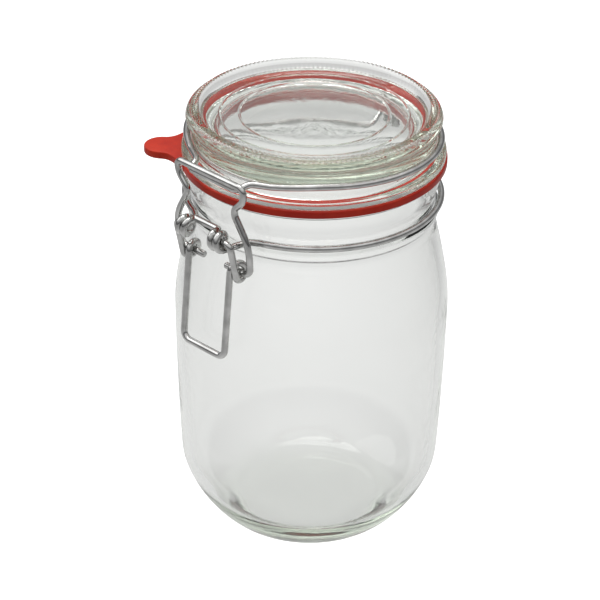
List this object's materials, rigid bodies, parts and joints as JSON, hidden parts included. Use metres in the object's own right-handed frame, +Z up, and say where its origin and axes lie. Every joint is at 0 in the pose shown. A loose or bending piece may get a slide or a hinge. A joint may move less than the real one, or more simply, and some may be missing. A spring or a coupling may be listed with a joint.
{
  "type": "clip top jar",
  "caption": "Empty glass preserving jar with a hinged glass lid, a flat rubber ring with a pull tongue and an over-centre wire clip.",
  "frame": {"origin": "centre of the flat underside that the jar stands on", "axes": "+Z up through the jar's axis, -Y towards the clip and its handle, +Y towards the lid's hinge, +X to the right of someone facing the clip"},
  "size_m": [0.111, 0.1295, 0.1853],
  "materials": {
    "glass": "clear, polished, faintly green where thick",
    "rubber": "satin",
    "wire": "bright drawn wire"
  },
  "bodies": {
    "jar": {"jar_glass": "glass", "neck_wire": "wire", "rubber_ring": "rubber"},
    "lid": {"lid_glass": "glass", "lid_wire": "wire"},
    "lever": {"lever": "wire"},
    "clasp": {"clasp": "wire"}
  },
  "joints": [
    {"name": "lid_hinge", "type": "hinge", "parent": "jar", "child": "lid", "pos_m": [0, 0.06, 0.154], "axis": [-1, 0, 0], "range_deg": [0, 100]},
    {"name": "lever_pivot", "type": "hinge", "parent": "jar", "child": "lever", "pos_m": [0, -0.0603, 0.1503], "axis": [-1, 0, 0], "range_deg": [0, 50]},
    {"name": "clasp_pivot", "type": "hinge", "parent": "lever", "child": "clasp", "pos_m": [0, -0.0537, 0.1362], "axis": [1, 0, 0], "range_deg": [0, 140]}
  ],
  "couplings": [
    {"joint": "lever_pivot", "follows": "lid_hinge", "ratio": 0.5},
    {"joint": "clasp_pivot", "follows": "lid_hinge", "ratio": 1.4}
  ]
}
